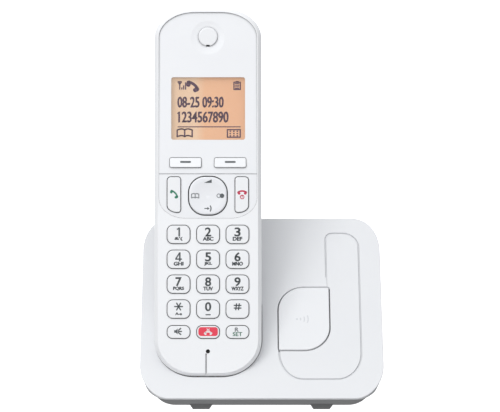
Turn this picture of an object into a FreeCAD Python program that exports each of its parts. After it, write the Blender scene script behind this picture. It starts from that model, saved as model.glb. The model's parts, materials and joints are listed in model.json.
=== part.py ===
import FreeCAD, Part
import math
import os

os.makedirs("parts", exist_ok=True)

# Cordless phone standing in its charging base. Millimetres, +Z up, +Y towards the back.
# The handset is drawn lying flat: X across, Y along it from its lower end, Z out of its face,
# with its face at Z = 0. It is then leaned back and set into the base.
# Key and fitting sizes are (width, height, corner radius) unless a note says otherwise.

# ---- handset shell ----
handset_width = 48.6
handset_length = 166.9
back_taper = 3.8              # degrees that the back slopes away from the face
bend_start = 96.3             # from here the back curves in to the top
top_thickness = 19.0
corner_across = 18.3          # the end corners are quarter ellipses
corner_low = 16.4
corner_high = 13.6
face_edge_cut = 1.6           # chamfer round the face
back_edge_round = 7.0
parting_depth = 10.0          # depth of the joint between front and rear case
side_wall = 1.8
face_wall = 3.0
back_wall = 1.5               # rear case under the battery cover
lean = 55.0                   # degrees of the handset from level
handset_x = -24.4             # across, from the middle of the base
handset_y = 9.05              # lower end of the face, from the front of the base
handset_z = 16.14

# ---- base shell ----
base_width = 110.9
base_depth = 86.4
base_front_height = 11.0
base_slope = 23.9             # degrees of its face from level
base_corner_front = (13.3, 12.6)
base_corner_back = (12.2, 15.6)
parting_height = 10.2
base_wall = 2.0
seat_wall = 1.8               # wall of the pocket that the handset stands in
base_edge_round = 0.35
floor_level = 1.5             # underside of the bottom case
floor_wall = 1.8
rim_inset = 0.5               # bottom case rim, inside the top case
side_lean = 2.5               # the sides lean in by this at the parting plane
lean_top = 17.0               # and stand upright above this height
undercut_front = 6.6
undercut_side = 6.0
undercut_back = 3.0

# ---- clearances ----
running = 0.35                # round a key
pocket_gap = 0.4              # round the docked handset
cover_gap = 0.25              # round the battery cover
cell_gap = 0.25               # over and under a cell
fit_gap = 0.1                 # between pieces that are fixed together
seat_gap = 0.15               # between the pocket and the bottom case
over_travel = 0.3             # left under a pressed key
post_gap = 0.3                # between a post and a board
board_to_tray = 0.55

# ---- face panel, keys and the stack behind the face ----
panel_thickness = 1.8
panel_inset = 2.15
panel_low = 71.7
panel_corner_low = (11.8, 9.1)
panel_crease = 91.7
panel_tilt_drop = 0.7         # how far the display zone falls back at the top
crease_line = (0.45, 0.3)     # width and depth of the line along the crease
key_travel = 0.6
key_round = 0.35
key_flange = 0.6              # flange width round a key
flange_thickness = 0.6
membrane_thickness = 1.0
membrane_y = (15.8, 93.5)
membrane_tab_high = 99.7
board_thickness = 1.2
board_half_width = 20.5
board_y = (17.3, 143.3)
board_round = 2.0
number_key = (10.1, 8.1, 2.5)
number_columns = (-13.25, 0.1, 13.4)
number_pitch = 11.26
number_top_row = 64.3
number_proud = 0.6
function_key = (10.1, 5.6, 2.3)
function_row = 20.15
function_proud = 0.4
soft_key = (14.3, 4.4, 0.8)
soft_key_at = (10.1, 96.8)
soft_gap = 0.2                # the soft keys fit closely
soft_proud = (0.95, 0.1)      # at its lower and upper edge
side_key = (5.9, 15.9)        # talk and off keys, width and height
side_key_at = (15.35, 82.3)
side_key_cut = (4.6, 3.0)     # outer lower corner
side_key_corner = (1.6, 1.6)
side_key_small = (1.2, 1.2)
side_proud = 0.6
nav_size = 17.2
nav_corner = 7.3
nav_at = (0.0, 81.8)
nav_proud = 0.5
nav_gap = 0.45
nav_round = 0.7
nav_dish = 0.35
nav_dish_margin = 1.6
nav_underside = 0.2           # below the inside of the face wall
carrier_drop = (0.6, 1.3)     # top and underside of the carrier ring, from the same place
carrier_radii = (3.2, 5.5)

# ---- display and sound ----
window_size = (33.4, 28.3, 1.0)
window_at = (0.1, 121.3)
window_recess = 1.0
window_flange = 1.3
window_flange_thickness = 1.0
gasket_thickness = 0.5
gasket_width = 1.2
lcd_glass_thickness = 1.4
lcd_margin = 1.2
backlight_margin = 1.6
cap_radius = 4.35
cap_round = 0.6
cap_at = 153.8
cap_sunk = 0.1                # top of the cap below the face
dish_radius = 7.6
dish_depth = 0.6
slot_size = (1.6, 0.8)
slot_at = 149.7
sound_hole = 1.6
receiver_radius = 6.2
receiver_depth = 3.6
receiver_ring = (6.4, 7.6, 3.0)        # inner and outer radius, depth
microphone_at = 11.4
microphone_hole = 0.95
microphone_radius = 2.2
microphone_depth = 2.4
boot_radius = 3.2
boot_depth = 3.4
boot_front = 0.8
boot_nose = (1.8, 1.2)                 # radius, and how far its tip lies below the face
end_groove = (-0.8, 0.35, 0.8)         # middle, half width and depth
boot_recess = 0.6                      # hole in the boot's nose
ringer_at = 120.3
ringer_radius = 8.0
ringer_magnet = 4.5
ringer_depths = (3.0, 1.2)             # body and magnet
grille_pitch = (3.2, 2.8)
grille_hole = 0.7

# ---- battery, contacts and small fittings of the handset ----
cell_radius = 5.25
cell_length = 44.5
cell_button = (1.9, 1.2)               # radius, height
cell_low = 51.7
cell_spacing = 11.2
cell_end_room = 0.8
tray_floor = 1.2
tray_side_room = 0.5
contact_plate = 3.5
cover_thickness = 1.6
cover_half_width = 20.3
cover_low = 10.3
cover_high = 105.3
cover_corner = 2.0
cover_ridges = 6
ridge_pitch = 2.2
ridge_height = 0.3
ridge_half = (8.0, 0.4)                # half length and half width
charge_at = 4.5
charge_plate = (1.5, 2.2, 0.6)         # half width, half depth, thickness
charge_stem = 0.75
shield = (13.0, 106.3, 127.3, 2.4)     # half width, low end, high end, depth
antenna = (15.0, 130.8, 140.8, 2.8)    # half width, low end, high end, distance from the board
sheet_metal = 0.4
front_post_at = (18.0, 140.3)
front_post = 1.5
handset_screw_at = (16.0, 102.6)
handset_screw = (1.0, 2.0, 1.2)        # shank radius, head radius, head thickness
handset_screw_seat = 1.4
handset_posts = (2.4, 2.6)             # radius of the front and rear post
screw_meet_gap = 1.0

# ---- base fittings ----
base_board_level = 6.5
base_board_thickness = 1.6
base_board_x = (4.0, 48.5)
base_board_y = (22.0, 81.1)
base_board_corner = (10.0, 13.0)       # clears the rounded corner of the case
locator_x = (7.8, 31.1)
locator_t = (24.4, 56.9)               # measured up the sloping face
locator_round = 11.8
locator_small = 0.8
locator_travel = 0.8
locator_proud = 0.3
locator_skin = 2.6
locator_gap = 0.55
locator_flange = (1.2, 1.0)            # width and thickness
plunger_radius = 2.2
switch_body = (3.0, 3.5)               # half width, height
switch_button = (1.7, 1.0)             # radius, height
groove_width = 0.8
groove_depth = 0.6
groove_x = (7.6, 29.6, 45.8)           # left end, left of the bar, right
groove_t = (9.1, 86.5)
groove_left = (11.3, 14.2)
groove_right = (11.8, 13.8)
groove_top = 7.8
groove_small = 3.5
jack_wall_gap = 0.05
line_jack_at = 15.0
line_jack_size = (12.0, 11.6, 14.0)    # width, height, depth
line_bore = (9.7, 6.6, 12.0)
line_bore_low = 2.6
power_jack_at = 35.0
power_jack_size = (9.0, 11.0, 13.0)
power_bore = (2.8, 10.0)               # radius, depth
power_pin = (0.65, 9.0)
jack_window_gap = 0.4
base_screws_at = ((44.0, 15.0), (45.5, 77.1), (-44.0, 63.6))
base_screw = (1.25, 2.4, 1.5)          # shank radius, head radius, head thickness
screw_recess = 2.0
screw_bite = 3.6                       # length of screw in the top case post
base_posts_radii = (3.0, 3.4)          # top case and bottom case
board_post = 2.0
front_foot_y = (5.4, 14.0)
front_foot_x = (-27.6, 27.2)
front_foot_half = (3.75, 5.4)          # half width at the bottom and the top
rear_foot_at = ((-36.0, 74.6), (30.0, 74.6))
rear_foot_radius = 4.5
vents = (6, 12.0, 4.0, 1.4, 34.0, 54.0)     # count, first x, pitch, width, y range
contact_half = (0.9, 1.3)              # half width and half depth of a charging pin
contact_length = 5.6
contact_slot_gap = 0.4
holder_half = (8.0, 3.0)
holder_height = 6.0
antenna_wire = 0.5
antenna_height = 18.0
antenna_arm = 14.0
base_shield = (36.0, 49.0, 30.0, 58.0, 3.0)
shield_round = 0.6

# ---- values worked out from them ----
half_width = handset_width / 2
profile_over = 2.0            # the side view runs past both ends before it is trimmed
deep = 60.0                   # longer than anything that a cut has to pass
taper = math.tan(math.radians(back_taper))
slope_rise = math.tan(math.radians(base_slope))
slope_cos = math.cos(math.radians(base_slope))
base_back_height = base_front_height + base_depth * slope_rise
flange_top = face_wall + over_travel
membrane_top = flange_top + flange_thickness + key_travel + over_travel
board_top = membrane_top + membrane_thickness
board_back = board_top + board_thickness
charge_depth = board_back - charge_stem      # the charging strips lie on the board
tray_top = board_back + board_to_tray
cell_depth = tray_top + tray_floor + cell_gap + cell_radius
end_thickness = cell_depth + cell_radius + cell_gap + cover_thickness - taper * cell_low
channel_depth = cover_thickness + fit_gap
gasket_depth = panel_thickness + window_flange_thickness
glass_depth = gasket_depth + gasket_thickness
backlight_depth = glass_depth + lcd_glass_thickness
screw_meet = board_back + screw_meet_gap
board_surface = base_board_level + base_board_thickness
base_post_meet = board_surface + post_gap
contact_tip = pocket_gap - 0.1         # just proud of the pocket floor
holder_top = pocket_gap + seat_wall


def vec(x, y, z=0.0):
    return FreeCAD.Vector(x, y, z)


def box(x0, x1, y0, y1, z0, z1):
    return Part.makeBox(x1 - x0, y1 - y0, z1 - z0, vec(x0, y0, z0))


def rod(x, y, z0, z1, radius):
    return Part.makeCylinder(radius, z1 - z0, vec(x, y, z0))


def rod_back(x, y0, y1, z, radius):
    return Part.makeCylinder(radius, y1 - y0, vec(x, y0, z), vec(0, 1, 0))


def line(a, b):
    return Part.LineSegment(vec(*a), vec(*b)).toShape()


def quarter(cx, cy, a, b, first):
    """Quarter ellipse about (cx, cy) with half axes a along X and b along Y."""
    start = math.radians(first)
    end = start + math.pi / 2
    if abs(a - b) < 1e-6:
        circle = Part.Circle(vec(cx, cy), vec(0, 0, 1), a)
        return Part.Arc(circle, start, end).toShape()
    if a > b:
        return Part.ArcOfEllipse(Part.Ellipse(vec(cx, cy), a, b), start, end).toShape()
    upright = Part.Ellipse(vec(cx, cy + b), vec(cx - a, cy), vec(cx, cy))
    return Part.ArcOfEllipse(upright, start - math.pi / 2, end - math.pi / 2).toShape()


def outline(x0, x1, y0, y1, low_left, low_right, high_right, high_left):
    """Face with straight sides; a corner is (a, b), a quarter ellipse, or None for a sharp one."""
    corners = [
        (x0, y0, 1, 1, low_left, 180), (x1, y0, -1, 1, low_right, 270),
        (x1, y1, -1, -1, high_right, 0), (x0, y1, 1, -1, high_left, 90),
    ]
    ends = []
    edges = []
    for x, y, sx, sy, size, first in corners:
        a, b = size or (0.0, 0.0)
        along_x = (x + sx * a, y)
        along_y = (x, y + sy * b)
        ends.append((along_y, along_x) if first in (180, 0) else (along_x, along_y))
        if size:
            edges.append(quarter(x + sx * a, y + sy * b, a, b, first))
    for here, after in zip(ends, ends[1:] + ends[:1]):
        if (vec(*here[1]) - vec(*after[0])).Length > 1e-6:
            edges.append(line(here[1], after[0]))
    return Part.Face(Part.Wire(Part.__sortEdges__(edges)))


def even(x0, x1, y0, y1, radius):
    corner = (radius, radius)
    return outline(x0, x1, y0, y1, corner, corner, corner, corner)


def grown(corner, grow):
    return tuple(size + grow for size in corner)


def centred(at, size, grow):
    x, y = at
    w, h, r = size
    return even(x - w / 2 - grow, x + w / 2 + grow, y - h / 2 - grow, y + h / 2 + grow, r + grow)


def slab(face, z0, z1):
    shape = face.copy()
    shape.translate(vec(0, 0, z0))
    return shape.extrude(vec(0, 0, z1 - z0))


def side_prism(points, x0, x1):
    """Prism along X from points given as (y, z)."""
    loop = [vec(x0, y, z) for y, z in points]
    return Part.Face(Part.makePolygon(loop + loop[:1])).extrude(vec(x1 - x0, 0, 0))


def soften(shape, radius, pick):
    edges = [edge for edge in shape.Edges if pick(edge.BoundBox)]
    return shape.makeFillet(radius, edges)


def soften_top(shape, radius):
    """Rounds the rim of the uppermost face."""
    top = max(shape.Faces, key=lambda face: face.CenterOfMass.z)
    return shape.makeFillet(radius, top.Edges)


def ball_for(radius, depth):
    """Radius of the ball that cuts a dish of this radius and depth."""
    return (radius ** 2 + depth ** 2) / (2 * depth)


def cross_slot(x, y, z0, z1, long, short):
    return [box(x - a, x + a, y - b, y + b, z0, z1) for a, b in ((long, short), (short, long))]


def place_handset(shape):
    turned = shape.copy()
    turned.rotate(vec(0, 0, 0), vec(1, 0, 0), lean)
    turned.translate(vec(handset_x, handset_y, handset_z))
    return turned


# ---- handset envelope ----

def back_arc():
    """Centre (Y, depth) and radius of the curved upper back, tangent to the straight part."""
    start = (bend_start, end_thickness + taper * bend_start)
    across = (handset_length + profile_over - bend_start, top_thickness - start[1])
    inward = (math.sin(math.radians(back_taper)), -math.cos(math.radians(back_taper)))
    radius = (across[0] ** 2 + across[1] ** 2) / (2 * (across[0] * inward[0] + across[1] * inward[1]))
    return start[0] + inward[0] * radius, start[1] + inward[1] * radius, radius


def back_depth(y):
    if y <= bend_start:
        return end_thickness + taper * y
    centre, depth, radius = back_arc()
    return depth + math.sqrt(radius ** 2 - (y - centre) ** 2)


def back_profile(back):
    """Side view of the envelope, its back pulled in by back."""
    x = -half_width - profile_over
    low, far = -profile_over, handset_length + profile_over
    above = panel_thickness
    rear = [vec(x, y, back - back_depth(y)) for y in (low, bend_start, (bend_start + far) / 2, far)]
    corners = [rear[3], vec(x, far, above), vec(x, low, above), rear[0], rear[1]]
    edges = [Part.LineSegment(a, b).toShape() for a, b in zip(corners, corners[1:])]
    edges.append(Part.Arc(*rear[1:]).toShape())
    return Part.Face(Part.Wire(edges))


def handset_outline(grow):
    w = half_width + grow
    low = (corner_across + grow, corner_low + grow)
    high = (corner_across + grow, corner_high + grow)
    return outline(-w, w, -grow, handset_length + grow, low, low, high, high)


def handset_body(side, front, back):
    """Envelope of the handset, pulled in by side, front and back."""
    span = back_profile(back).extrude(vec(2 * (half_width + profile_over), 0, 0))
    return slab(handset_outline(-side), -deep, -front).common(span)


def round_back(shape, radius, back):
    return soften(shape, radius, lambda b: b.ZMax < back - end_thickness + 2 * taper * corner_low)


def solid_handset():
    shape = round_back(handset_body(0, 0, 0), back_edge_round, 0)
    return shape.makeChamfer(face_edge_cut, [e for e in shape.Edges if e.BoundBox.ZMin > -0.01])


def beyond(z0, z1):
    """Everything in the handset's outline between two levels."""
    far = handset_length + profile_over
    return box(-half_width - 1, half_width + 1, -profile_over, far, z0, z1)


# ---- outlines shared by a key and its opening ----

def talk_outline(grow):
    """Its outer lower corner follows the round end of the panel."""
    x, y = side_key_at
    w, h = side_key[0] / 2 + grow, side_key[1] / 2 + grow
    small = grown(side_key_small, grow)
    cut = grown(side_key_cut, grow)
    return outline(-x - w, -x + w, y - h, y + h, cut, small, small, grown(side_key_corner, grow))


def off_outline(grow):
    return talk_outline(grow).mirror(vec(0, 0, 0), vec(1, 0, 0))


def nav_outline(grow):
    return centred(nav_at, (nav_size, nav_size, nav_corner), grow)


def panel_outline(grow):
    w = half_width - panel_inset + grow
    low = grown(panel_corner_low, grow)
    high = (corner_across - panel_inset + grow, corner_high - panel_inset + grow)
    return outline(-w, w, panel_low - grow, handset_length - panel_inset + grow, low, low, high, high)


def window_outline(grow):
    return centred(window_at, window_size, grow)


def number_places():
    rows = (("key_1", "key_2", "key_3"), ("key_4", "key_5", "key_6"),
            ("key_7", "key_8", "key_9"), ("key_star", "key_0", "key_hash"))
    return [(name, (number_columns[c], number_top_row - r * number_pitch))
            for r, row in enumerate(rows) for c, name in enumerate(row)]


def pressed_keys():
    """Every pressed key: its name, its outline grown by g, and how proud its low and high edge are."""
    keys = []
    for name, at in number_places():
        keys.append((name, lambda g, at=at: centred(at, number_key, g), (number_proud,) * 2))
    for name, x in zip(("key_speaker", "key_block", "key_recall"), number_columns):
        at = (x, function_row)
        keys.append((name, lambda g, at=at: centred(at, function_key, g), (function_proud,) * 2))
    for name, side in (("soft_key_left", -1), ("soft_key_right", 1)):
        at = (side * soft_key_at[0], soft_key_at[1])
        keys.append((name, lambda g, at=at: centred(at, soft_key, g), soft_proud))
    keys.append(("key_talk", talk_outline, (side_proud,) * 2))
    keys.append(("key_off", off_outline, (side_proud,) * 2))
    return keys


def key_openings(z0):
    openings = [slab(make(soft_gap if name.startswith("soft") else running), z0, deep)
                for name, make, proud in pressed_keys()]
    return openings + [slab(nav_outline(nav_gap), z0, deep)]


def earpiece_slot(z0, z1):
    w, h = slot_size
    return box(-w / 2, w / 2, slot_at - h / 2, cap_at, z0, z1)


# ---- handset shells ----

def screw_posts(radius, depth0, depth1):
    x, y = handset_screw_at
    return [rod(side * x, y, -depth1, -depth0, radius) for side in (-1, 1)]


def front_case():
    shell = solid_handset().common(beyond(-parting_depth, deep))
    shell = shell.cut(handset_body(side_wall, face_wall, 0))
    inner, outer, ring_depth = receiver_ring
    ring = rod(0, cap_at, -face_wall - ring_depth, -face_wall, outer)
    ring = ring.cut(rod(0, cap_at, -deep, -face_wall, inner))
    x, y = front_post_at
    posts = [rod(side * x, y, -board_top, -face_wall, front_post) for side in (-1, 1)]
    shell = shell.multiFuse(posts + screw_posts(handset_posts[0], face_wall, screw_meet) + [ring])
    through = -face_wall - 1
    cuts = [slab(panel_outline(fit_gap), -panel_thickness, deep)]
    cuts += key_openings(through)
    cuts.append(slab(window_outline(window_flange + fit_gap), through, deep))
    cuts += [rod(0, cap_at, through, 0, sound_hole), earpiece_slot(through, 0)]
    nose, tip = boot_nose
    cuts.append(rod(0, microphone_at, through, deep, microphone_hole))
    cuts.append(rod(0, microphone_at, through, -tip, nose + fit_gap))
    x, half, depth = end_groove
    cuts.append(box(x - half, x + half, -1, microphone_at - microphone_hole, -depth, deep))
    cuts += screw_posts(handset_screw[0] + fit_gap / 2, face_wall + 1, deep)
    half, tall, thick = grown(charge_plate, fit_gap)
    stem = charge_stem + fit_gap
    for x in (-charge_at, charge_at):
        cuts.append(box(x - half, x + half, -1, thick, -charge_depth - tall, -charge_depth + tall))
        cuts.append(box(x - stem, x + stem, 0, 2 * side_wall, -charge_depth - stem,
                        -charge_depth + stem))
    return shell.cut(cuts)


def tray_box(grow):
    x = cell_spacing / 2 + cell_radius + tray_side_room + grow
    return (-x, x, cell_low - cell_end_room - grow, cell_low + cell_length + cell_end_room + grow)


def grille():
    across, along = grille_pitch
    return [rod(across * (i + j % 2 / 2), ringer_at + along * j, -deep, -parting_depth - side_wall,
                grille_hole) for i in range(-2, 3) for j in (-1, 0, 1)]


def rear_case():
    """Shell with the battery tray; its back is stepped in where the cover lies."""
    behind = beyond(-deep, -parting_depth)
    shell = solid_handset().common(behind)
    upper = round_back(handset_body(side_wall, 0, side_wall), back_edge_round - side_wall, side_wall)
    upper = upper.common(box(-half_width, half_width, cover_high + side_wall, handset_length, -deep, 0))
    shell = shell.cut([handset_body(side_wall, 0, channel_depth + back_wall), upper])
    inside = handset_body(side_wall, 0, channel_depth)
    tray = box(*tray_box(tray_floor), -deep, -tray_top)
    posts = Part.Compound(screw_posts(handset_posts[1], screw_meet, deep))
    shell = shell.multiFuse([tray.common(inside), posts.common(inside)])
    wide = cover_half_width + cover_gap
    channel = handset_body(-1, 0, -1).cut(handset_body(-2, -1, channel_depth))
    reach = box(-wide, wide, -profile_over, cover_high + cover_gap, -deep, -parting_depth - side_wall)
    cuts = [channel.common(reach), box(*tray_box(0), -deep, -tray_top - tray_floor)]
    cuts += screw_posts(handset_screw[0] + fit_gap, 0, deep)
    x, y = handset_screw_at
    seat = -back_depth(y) + channel_depth + handset_screw_seat
    cuts += [rod(side * x, y, -deep, seat, handset_screw[1] + post_gap) for side in (-1, 1)]
    return shell.cut(cuts + grille()).common(behind)


def battery_cover():
    skin = solid_handset().cut(handset_body(-1, -1, cover_thickness))
    x = cover_half_width
    reach = slab(even(-x, x, cover_low, cover_high, cover_corner), -deep,
                 -parting_depth - side_wall - cover_gap)
    half, thin = ridge_half
    ridges = []
    for i in range(cover_ridges):
        y = cover_high - 4 * cover_corner - ridge_pitch * i
        back = -back_depth(y)
        ridges.append(box(-half + thin * i, half - thin * i, y - thin, y + thin,
                          back - ridge_height, back + ridge_height))
    return skin.common(reach).multiFuse(ridges)


# ---- pieces in the face ----

def face_panel():
    plate = slab(panel_outline(0), -panel_thickness, 0)
    top = handset_length
    run = top - panel_crease
    fallen = [(panel_crease, 0), (top, -panel_tilt_drop), (top, 1), (panel_crease, 1)]
    wide, drop = crease_line
    crease = box(-half_width, half_width, panel_crease - wide / 2, panel_crease + wide / 2, -drop, deep)
    plate = plate.cut([side_prism(fallen, -half_width, half_width), crease])
    level = panel_tilt_drop * (cap_at - panel_crease) / run
    ball = ball_for(dish_radius, dish_depth)
    dish = Part.makeSphere(ball, vec(0, cap_at, ball - level - dish_depth))
    cuts = [dish, rod(0, cap_at, -deep, deep, cap_radius + fit_gap), earpiece_slot(-deep, deep)]
    return plate.cut(cuts + key_openings(-deep) + [slab(window_outline(0), -deep, deep)])


def earpiece_cap():
    cap = soften_top(rod(0, cap_at, -panel_thickness, -cap_sunk, cap_radius), cap_round)
    w, h = slot_size
    return cap.cut(box(-w / 2, w / 2, slot_at - h / 2, slot_at + h / 2, -deep, deep))


def display_window():
    lens = slab(window_outline(-fit_gap), -panel_thickness, -window_recess)
    return lens.fuse(slab(window_outline(window_flange), -gasket_depth, -panel_thickness))


def under_window(grow, depth, thickness):
    return slab(window_outline(grow), -depth - thickness, -depth)


def display_gasket():
    ring = under_window(window_flange, gasket_depth, gasket_thickness)
    return ring.cut(under_window(window_flange - gasket_width, 0, deep))


def key_solid(make, proud):
    low, high = proud
    cap = slab(make(0), -flange_top, max(proud))
    if low != high:
        b = cap.BoundBox
        above = [(b.YMin - 1, low), (b.YMin, low), (b.YMax, high), (b.YMax + 1, high),
                 (b.YMax + 1, 2 * low), (b.YMin - 1, 2 * low)]
        cap = cap.cut(side_prism(above, -half_width, half_width))
    cap = soften_top(cap, key_round)
    return cap.fuse(slab(make(key_flange), -flange_top - flange_thickness, -flange_top))


def nav_key():
    cap = soften_top(slab(nav_outline(0), -face_wall - nav_underside, nav_proud), nav_round)
    ball = ball_for(nav_size / 2 - nav_dish_margin, nav_dish)
    x, y = nav_at
    return cap.cut(Part.makeSphere(ball, vec(x, y, ball + nav_proud - nav_dish)))


def nav_carrier():
    x, y = nav_at
    upper, lower = carrier_drop
    inner, outer = carrier_radii
    ring = rod(x, y, -face_wall - lower, -face_wall - upper, outer)
    return ring.cut(rod(x, y, -deep, 0, inner))


# ---- inside the handset ----

def handset_board():
    board = slab(even(-board_half_width, board_half_width, *board_y, board_round), -board_back, -board_top)
    return board.cut(screw_posts(handset_posts[0] + post_gap, 0, deep))


def keypad_membrane():
    low, high = membrane_y
    w = board_half_width
    sheet = slab(even(-w, w, low, high, board_round), -board_top, -membrane_top)
    tab = even(-w + board_round, w - board_round, high - 2 * board_round, membrane_tab_high, board_round)
    return sheet.fuse(slab(tab, -board_top, -membrane_top))


def tin_can(x0, x1, y0, y1, z0, z1, thin):
    """Folded lid with its open side at z0."""
    can = soften(box(x0, x1, y0, y1, z0, z1), shield_round, lambda b: b.ZLength > 1)
    return can.cut(box(x0 + thin, x1 - thin, y0 + thin, y1 - thin, z0, z1 - thin))


def handset_shield():
    half, low, high, depth = shield
    can = tin_can(-half, half, low, high, 0, depth, sheet_metal)
    can.rotate(vec(0, 0, 0), vec(0, 1, 0), 180)
    can.translate(vec(0, 0, -board_back))
    return can


def handset_antenna():
    half, low, high, away = antenna
    top = -board_back - away
    plate = box(-half, half, low, high, top - sheet_metal, top)
    legs = [box(x, x + 3 * sheet_metal, low, low + sheet_metal, top, -board_back)
            for x in (-half, -half / 2)]
    return plate.multiFuse(legs)


def earpiece_receiver():
    body = rod(0, cap_at, -face_wall - receiver_depth, -face_wall, receiver_radius)
    return soften(body, sheet_metal, lambda b: b.ZMax < -face_wall - receiver_depth / 2)


def ringer_speaker():
    nearest = min(back_depth(ringer_at - ringer_radius), back_depth(ringer_at + ringer_radius))
    depth = nearest - side_wall - fit_gap
    body, magnet = ringer_depths
    disc = rod(0, ringer_at, -depth, -depth + body, ringer_radius)
    return disc.fuse(rod(0, ringer_at, -depth + body, -depth + body + magnet, ringer_magnet))


def microphone_boot():
    nose, tip = boot_nose
    boot = rod(0, microphone_at, -face_wall - boot_depth, -face_wall, boot_radius)
    boot = boot.fuse(rod(0, microphone_at, -face_wall, -tip - fit_gap, nose))
    return boot.cut([rod(0, microphone_at, -deep, -face_wall - boot_front, microphone_radius),
                     rod(0, microphone_at, -tip - boot_recess, 0, microphone_hole)])


def microphone():
    front = -face_wall - boot_front
    return rod(0, microphone_at, front - microphone_depth, front, microphone_radius)


def battery_cell(side, turned):
    x = side * cell_spacing / 2
    radius, height = cell_button
    shoulder = cell_low + cell_length - height
    can = soften(rod_back(x, cell_low, shoulder, -cell_depth, cell_radius), cell_radius / 10,
                 lambda b: b.YLength < 0.1)
    cell = can.fuse(rod_back(x, shoulder, shoulder + height, -cell_depth, radius))
    if turned:
        cell.rotate(vec(x, cell_low + cell_length / 2, -cell_depth), vec(0, 0, 1), 180)
    return cell


def battery_contacts():
    """Plates at the ends of the two cells."""
    x0, x1, low, high = tray_box(0)
    ends = ((low + fit_gap, cell_low - fit_gap), (cell_low + cell_length + fit_gap, high - fit_gap))
    half = contact_plate
    return Part.Compound([box(x - half, x + half, *end, -cell_depth - half, -cell_depth + half)
                          for x in (-cell_spacing / 2, cell_spacing / 2) for end in ends])


def charge_plates():
    """Two strips; each shows at the lower end of the handset and runs in to the board."""
    half, tall, thick = charge_plate
    stem = charge_stem
    inner = 2 * side_wall
    strips = []
    for x in (-charge_at, charge_at):
        plate = box(x - half, x + half, fit_gap / 2, thick, -charge_depth - tall, -charge_depth + tall)
        link = box(x - stem, x + stem, thick, inner, -charge_depth - stem, -charge_depth + stem)
        strip = box(x - stem, x + stem, inner - stem, board_y[0] + inner, -board_back - sheet_metal,
                    -board_back)
        strips.append(plate.multiFuse([link, strip]))
    return Part.Compound(strips)


def handset_screws():
    x, y = handset_screw_at
    shank, head, thick = handset_screw
    seat = back_depth(y) - channel_depth - handset_screw_seat
    screws = []
    for side in (-1, 1):
        body = rod(side * x, y, -seat, -face_wall - 1.5, shank)
        cap = rod(side * x, y, -seat - thick, -seat, head)
        slots = cross_slot(side * x, y, -deep, -seat - thick / 2, head * 0.6, shank / 4)
        screws.append(cap.fuse(body).cut(slots))
    return Part.Compound(screws)


# ---- base shells ----

def base_outline(inset, side=0.0):
    """Plan of the base pulled in by inset all round, and by side more at its two sides."""
    w = base_width / 2 - inset - side
    front = (base_corner_front[0] - inset - side, base_corner_front[1] - inset)
    back = (base_corner_back[0] - inset - side, base_corner_back[1] - inset)
    return outline(-w, w, inset, base_depth - inset, front, front, back, back)


def under_face(drop, z0):
    """Everything below the sloping face, lowered by drop measured square to it."""
    height = base_front_height - drop / slope_cos
    low, high = -base_depth, 2 * base_depth
    points = [(low, z0), (high, z0), (high, height + high * slope_rise), (low, height + low * slope_rise)]
    return side_prism([p for p in points if p[1] >= z0] + [(-(height - z0) / slope_rise, z0)],
                      -base_width, base_width)


def base_block(inset, z0):
    lean_at = side_lean * (lean_top - z0) / (lean_top - parting_height)
    wires = []
    for side, z in ((lean_at, z0), (0.0, lean_top)):
        face = base_outline(inset, side)
        face.translate(vec(0, 0, z))
        wires.append(face.OuterWire)
    block = Part.makeLoft(wires, True, True).fuse(slab(base_outline(inset), lean_top, 2 * base_back_height))
    return block.common(under_face(inset, z0 - 1))


def on_slope(b):
    """True for the bounding box of an edge that lies in the sloping face."""
    return all(abs(z - base_front_height - y * slope_rise) < 0.1 for y, z in ((b.YMin, b.ZMin), (b.YMax, b.ZMax)))


def pocket(grow):
    """Space that the docked handset stands in, open upwards along the handset."""
    far = handset_length / 2
    w = half_width + grow
    low = (corner_across + grow, corner_low + grow)
    face = outline(-w, w, -grow, far, low, low, None, None)
    side = [(-grow, deep), (-grow, -back_depth(-grow) - grow), (far, -back_depth(far) - grow), (far, deep)]
    return place_handset(slab(face, -deep, deep).common(side_prism(side, -w, w)))


def locator_plan():
    return locator_x + tuple(t * slope_cos for t in locator_t)


def locator_outline(grow):
    x0, x1, y0, y1 = locator_plan()
    big = (locator_round + grow, locator_round * slope_cos + grow)
    small = (locator_small + grow, locator_small + grow)
    return outline(x0 - grow, x1 + grow, y0 - grow, y1 + grow, small, big, small, big)


def groove_outline(inset):
    """J-shaped area round the locator key, in plan."""
    left, bar, right = groove_x
    low, high = (t * slope_cos for t in groove_t)
    corners = [(a - inset, b * slope_cos - inset) for a, b in
               (groove_left, groove_right, (groove_top, groove_top))]
    small = (groove_small, groove_small)
    middle = locator_plan()[3]
    hook = outline(left + inset, right - inset, low + inset, middle, *corners[:2], None, None)
    stem = outline(bar + inset, right - inset, (low + middle) / 2, high - inset, None, None,
                   corners[2], small)
    return hook.fuse(stem)


def j_groove():
    tall = 2 * base_back_height
    ring = slab(groove_outline(0), 0, tall).cut(slab(groove_outline(groove_width), -1, tall + 1))
    x0, x1, y0, y1 = locator_plan()
    ring = ring.cut(box(x0 - 5, x1 - groove_width, y0, y1 + 5, -1, tall + 1))
    return ring.cut(under_face(groove_depth, -1))


def base_posts(radius, z0, z1):
    return [rod(x, y, z0, z1, radius) for x, y in base_screws_at]


def jack_windows():
    z = board_surface
    width, height, depth = line_bore
    low = z + line_bore_low - jack_window_gap
    gap = jack_window_gap
    line_window = box(line_jack_at - width / 2 - gap, line_jack_at + width / 2 + gap,
                      base_depth - 2 * base_wall, base_depth + 1, low, low + height + 2 * gap)
    power_window = rod_back(power_jack_at, base_depth - 2 * base_wall, base_depth + 1,
                            z + power_jack_size[1] / 2, power_bore[0] + gap)
    return [line_window, power_window]


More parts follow.
